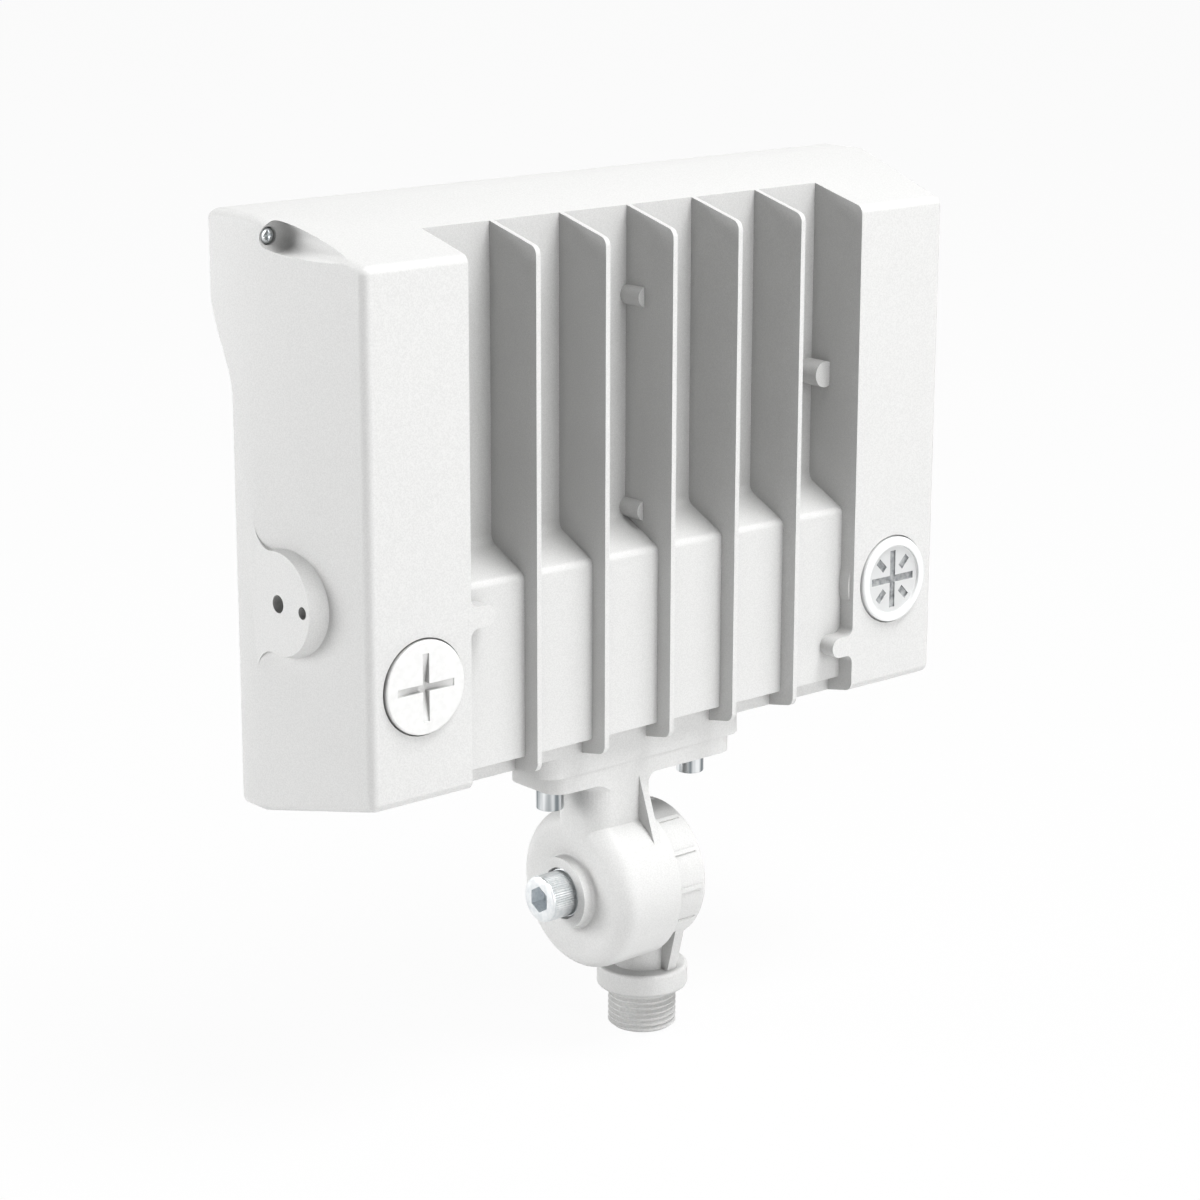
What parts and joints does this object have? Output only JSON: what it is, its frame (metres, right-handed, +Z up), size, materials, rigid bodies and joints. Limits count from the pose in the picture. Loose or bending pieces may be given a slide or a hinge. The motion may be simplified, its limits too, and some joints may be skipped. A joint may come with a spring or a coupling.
{
  "type": "flood light",
  "caption": "Rectangular outdoor flood light with a finned back and a brow, on a tilting knuckle arm whose stem has a hollow male pipe thread.",
  "frame": {"origin": "middle of the stem's shoulder, the underside of the collar where the male pipe thread begins", "axes": "+Z up along the stem, the light shines towards -Y, the tilt axis lies along X"},
  "size_m": [0.24, 0.0629, 0.2649],
  "materials": {
    "coat": "white powder coat with a fine grain over die-cast aluminium",
    "plated_steel": "plated steel, turned and knurled",
    "seal_rubber": "black moulded seal rubber",
    "plug_plastic": "moulded white polycarbonate",
    "clear_plastic": "moulded clear polycarbonate",
    "glass": "clear toughened glass",
    "reflector_white": "white enamelled sheet",
    "board_white": "white solder mask over an aluminium board",
    "phosphor": "yellow phosphor in silicone",
    "pad_grey": "grey heat-conducting pad",
    "driver_black": "black moulded plastic",
    "sheet_aluminium": "rolled aluminium sheet",
    "board_green": "green solder mask on glass-fibre board"
  },
  "bodies": {
    "stem": {"stem": "coat", "knuckle_seal": "seal_rubber"},
    "pivot_bolt": {"knuckle_bolt": "plated_steel", "bolt_washer": "plated_steel"},
    "head": {"arm": "coat", "flange_gasket": "seal_rubber", "flange_screws": "plated_steel", "flange_washers": "plated_steel", "housing": "coat", "front_frame": "coat", "frame_gasket": "seal_rubber", "frame_screws": "plated_steel", "glass": "glass", "glass_gasket": "seal_rubber", "reflector": "reflector_white", "led_board": "board_white", "leds": "phosphor", "thermal_pad": "pad_grey", "board_screws": "plated_steel", "driver_case": "driver_black", "driver_plate": "sheet_aluminium", "driver_screws": "plated_steel", "selector_board": "board_green", "selector_screws": "plated_steel", "power_switch": "driver_black", "colour_switch": "driver_black"},
    "plug": {"closure_plug": "plug_plastic", "plug_oring": "seal_rubber"},
    "cover": {"selector_cover": "clear_plastic", "cover_oring": "seal_rubber"},
    "power_slide": {"power_slider": "plug_plastic"},
    "colour_slide": {"colour_slider": "plug_plastic"}
  },
  "joints": [
    {"name": "tilt", "type": "hinge", "parent": "stem", "child": "head", "pos_m": [0, 0, 0.0375], "axis": [1, 0, 0], "range_deg": [-90, 90]},
    {"name": "bolt_turn", "type": "hinge", "parent": "stem", "child": "pivot_bolt", "pos_m": [0, 0, 0.0375], "axis": [1, 0, 0], "continuous": true},
    {"name": "plug_turn", "type": "hinge", "parent": "head", "child": "plug", "pos_m": [0.1024, 0.023, 0.1216], "axis": [0, 1, 0], "continuous": true},
    {"name": "cover_turn", "type": "hinge", "parent": "head", "child": "cover", "pos_m": [-0.0842, 0.023, 0.1216], "axis": [0, 1, 0], "continuous": true},
    {"name": "power_select", "type": "slide", "parent": "head", "child": "power_slide", "axis": [1, 0, 0], "range_m": [-0.002, 0.002]},
    {"name": "colour_select", "type": "slide", "parent": "head", "child": "colour_slide", "axis": [1, 0, 0], "range_m": [-0.002, 0.002]}
  ]
}
